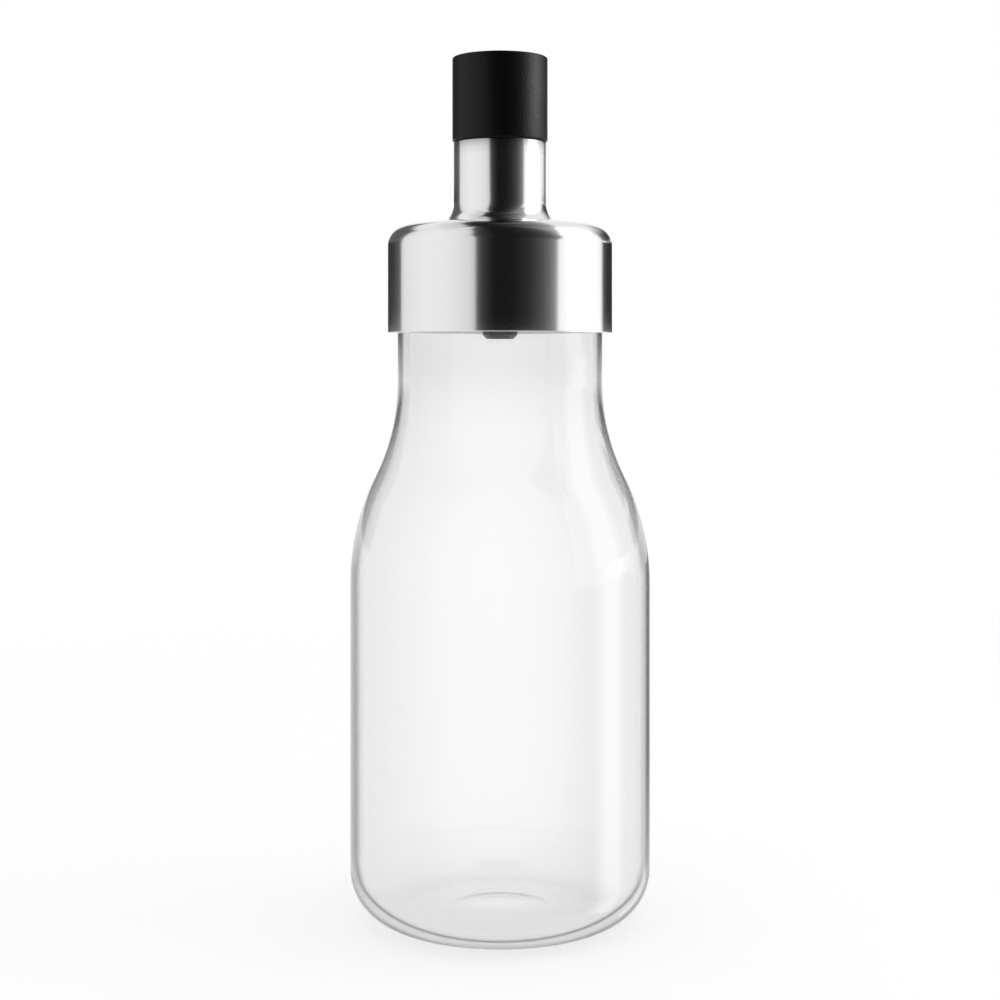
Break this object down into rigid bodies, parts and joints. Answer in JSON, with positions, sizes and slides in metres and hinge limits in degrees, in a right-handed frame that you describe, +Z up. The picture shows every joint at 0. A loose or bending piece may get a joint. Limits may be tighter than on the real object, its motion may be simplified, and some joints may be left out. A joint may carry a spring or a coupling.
{
  "type": "dressing shaker bottle",
  "caption": "Round glass bottle for shaking and pouring salad dressing, with a push-in steel lid, a pouring pipe that lets drops run back, and a black push-in stopper.",
  "frame": {"origin": "middle of the face that the bottle stands on", "axes": "+Z up along the bottle's axis, through the lid and the stopper; X and Y lie in the surface that it stands on"},
  "size_m": [0.0696, 0.0696, 0.2],
  "materials": {
    "clear_glass": "clear, smooth and glossy",
    "satin_steel": "satin, with fine lines turned round the axis",
    "black_plastic": "moulded, slightly satin",
    "gloss_black_plastic": "moulded and glossy",
    "grey_silicone": "soft and matt",
    "matt_black_rubber": "matt, with a very fine grain"
  },
  "bodies": {
    "bottle": {"glass_bottle": "clear_glass"},
    "lid": {"lid_shell": "satin_steel", "collar_liner": "black_plastic", "plug_body": "black_plastic", "rim_gasket": "grey_silicone", "neck_seal": "grey_silicone", "pour_tube": "gloss_black_plastic", "tube_seal": "grey_silicone", "pipe_seal": "grey_silicone"},
    "stopper": {"stopper_head": "matt_black_rubber", "stopper_stem": "black_plastic", "stopper_seal": "grey_silicone"}
  },
  "joints": [
    {"name": "lid_lift", "type": "slide", "parent": "bottle", "child": "lid", "axis": [0, 0, 1], "range_m": [0, 0.07]},
    {"name": "stopper_pull", "type": "slide", "parent": "lid", "child": "stopper", "axis": [0, 0, 1], "range_m": [0, 0.03]}
  ]
}
